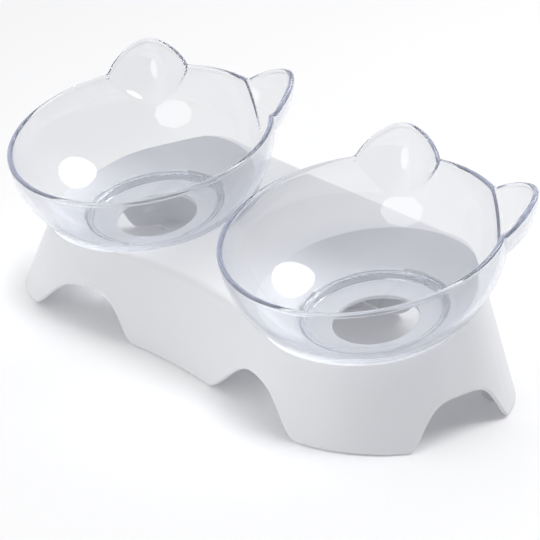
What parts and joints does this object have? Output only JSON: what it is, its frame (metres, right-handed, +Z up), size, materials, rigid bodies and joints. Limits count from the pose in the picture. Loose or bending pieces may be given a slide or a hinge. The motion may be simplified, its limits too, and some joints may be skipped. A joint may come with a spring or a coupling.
{
  "type": "raised double pet bowl",
  "caption": "Long white plastic stand on arched feet, its top and seats leaning forward, with clear lift-off bowls that have pointed ears.",
  "frame": {"origin": "under the middle of the whole object's box, at the table that the pads stand on", "axes": "+X along the length, towards the bowl on the right as seen from the low front; +Y to the high back; +Z up"},
  "size_m": [0.3098, 0.1566, 0.1208],
  "materials": {
    "white_plastic": "smooth satin white",
    "clear_plastic": "clear, polished, faintly cool",
    "pad_rubber": "soft matt"
  },
  "bodies": {
    "stand": {"stand": "white_plastic", "pad_front_left": "pad_rubber", "pad_front_right": "pad_rubber", "pad_back_left": "pad_rubber", "pad_back_right": "pad_rubber", "pad_front_middle": "pad_rubber", "pad_back_middle": "pad_rubber"},
    "left_bowl": {"left_bowl": "clear_plastic"},
    "right_bowl": {"right_bowl": "clear_plastic"}
  },
  "joints": [
    {"name": "left_bowl_lift", "type": "slide", "parent": "stand", "child": "left_bowl", "axis": [0, -0.2588, 0.9659], "range_m": [0, 0.08]},
    {"name": "right_bowl_lift", "type": "slide", "parent": "stand", "child": "right_bowl", "axis": [0, -0.2588, 0.9659], "range_m": [0, 0.08]}
  ]
}
